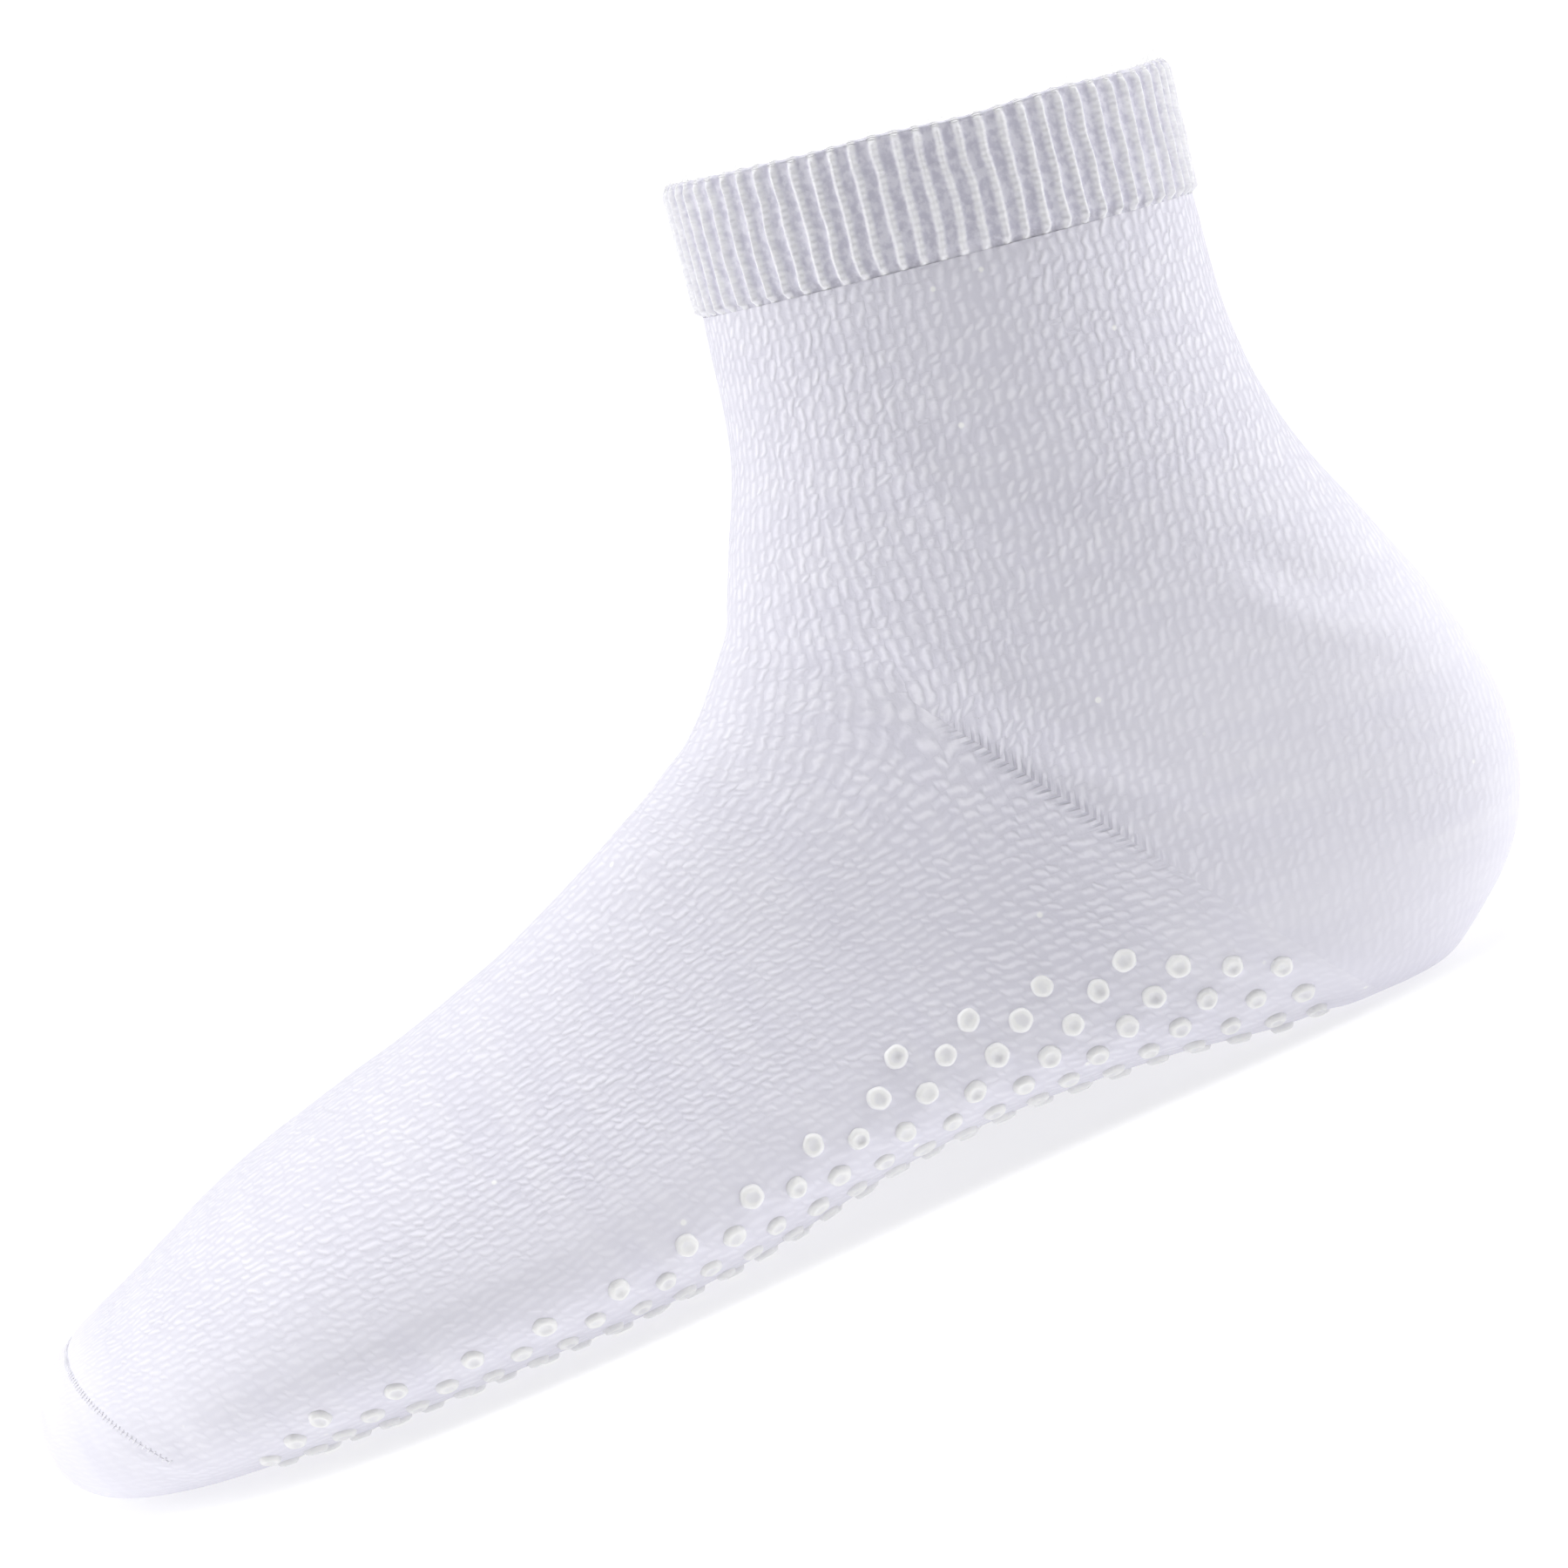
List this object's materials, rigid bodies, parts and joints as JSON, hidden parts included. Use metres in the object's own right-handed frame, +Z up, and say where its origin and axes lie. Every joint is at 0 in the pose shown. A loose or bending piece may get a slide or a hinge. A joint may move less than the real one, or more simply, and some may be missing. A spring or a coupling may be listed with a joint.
{
  "type": "slipper sock",
  "caption": "White cotton ankle sock with a ribbed cuff and clear silicone grip dots over the sole, shaped to a left foot and open at the leg.",
  "frame": {"origin": "on the floor, under the middle of the sock's bounding box", "axes": "+Z up, -X toward the toe, +X toward the heel, -Y toward the outer side of the left foot"},
  "size_m": [0.2449, 0.0925, 0.1471],
  "materials": {
    "cotton_jersey": "matte",
    "cotton_rib": "matte",
    "linking_thread": "matte",
    "clear_silicone": "satin"
  },
  "bodies": {
    "root": {"knit_body": "cotton_jersey", "rib_cuff": "cotton_rib", "toe_seam": "linking_thread"}
  },
  "joints": []
}
